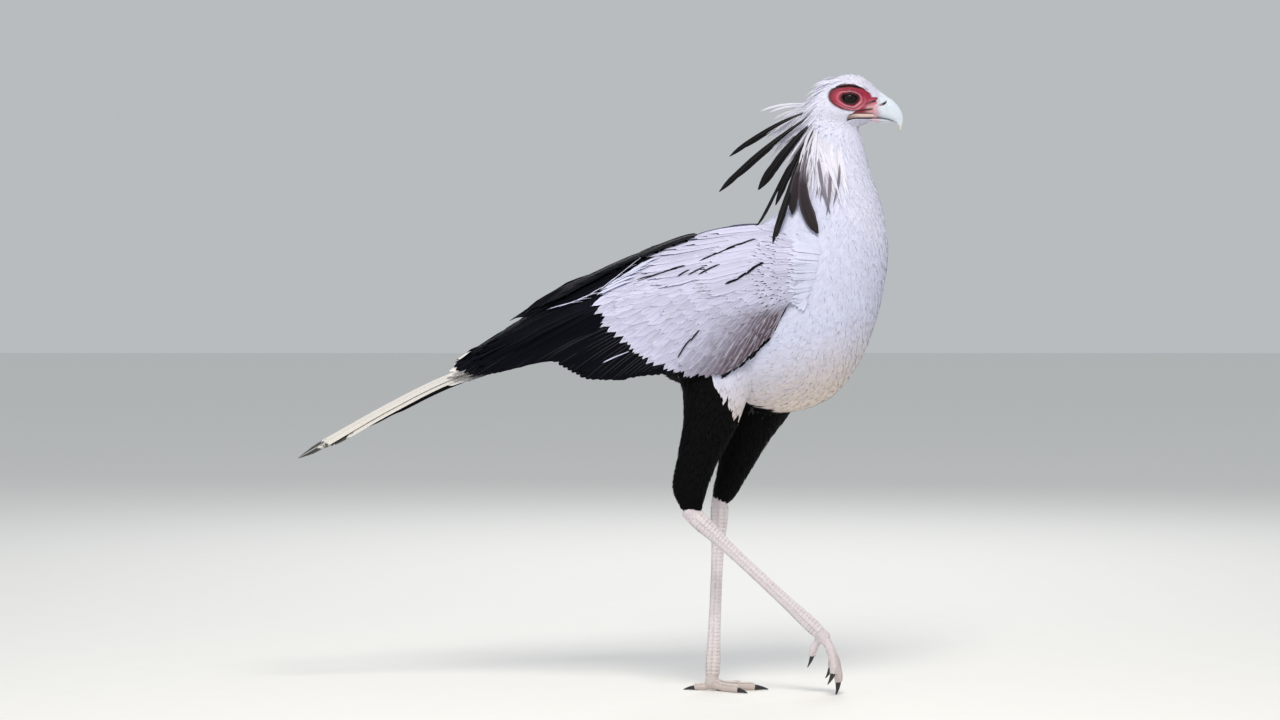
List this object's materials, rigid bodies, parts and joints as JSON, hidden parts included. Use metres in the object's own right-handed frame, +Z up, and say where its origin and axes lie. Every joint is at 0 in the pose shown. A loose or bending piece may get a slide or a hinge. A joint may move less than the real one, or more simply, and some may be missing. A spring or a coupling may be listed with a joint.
{
  "type": "secretary bird",
  "caption": "Life-size still model of a secretary bird walking: long legs, trailing tail, loose crest of dark feathers behind the head.",
  "frame": {"origin": "on the floor, under the middle of the whole bird's box", "axes": "+X the way the bird walks and looks, +Y to its left, +Z up"},
  "size_m": [1.0886, 0.2444, 1.1122],
  "materials": {
    "bare_face": "bare warm pink-red skin round the eye, white feathers elsewhere on the head",
    "white_feather": "soft white to pale lavender-grey body feathers",
    "silver_feather": "silver-grey wing coverts over glossy black flight feathers",
    "black_feather": "soft black thigh feathers",
    "tail_feather": "pale grey tail feathers with a broad black band and a pale tip",
    "bill_horn": "smooth pale blue-grey horn, yellowish at the tip",
    "eye": "glossy dark brown eye",
    "shank_skin": "pinkish-white scaled skin",
    "claw_horn": "smooth dark horn"
  },
  "bodies": {
    "root": {"head": "bare_face", "nape": "white_feather", "neck": "white_feather", "torso": "white_feather", "bill_upper": "bill_horn", "bill_lower": "bill_horn", "eye_right": "eye", "eye_left": "eye", "tail": "tail_feather", "wing_right": "silver_feather", "wing_left": "silver_feather", "thigh_right": "black_feather", "thigh_left": "black_feather", "tarsus_right": "shank_skin", "tarsus_left": "shank_skin", "foot_right": "shank_skin", "foot_left": "shank_skin", "claw_right_middle": "claw_horn", "claw_right_inner": "claw_horn", "claw_right_outer": "claw_horn", "claw_right_hind": "claw_horn", "claw_left_middle": "claw_horn", "claw_left_inner": "claw_horn", "claw_left_outer": "claw_horn", "claw_left_hind": "claw_horn"}
  },
  "joints": []
}
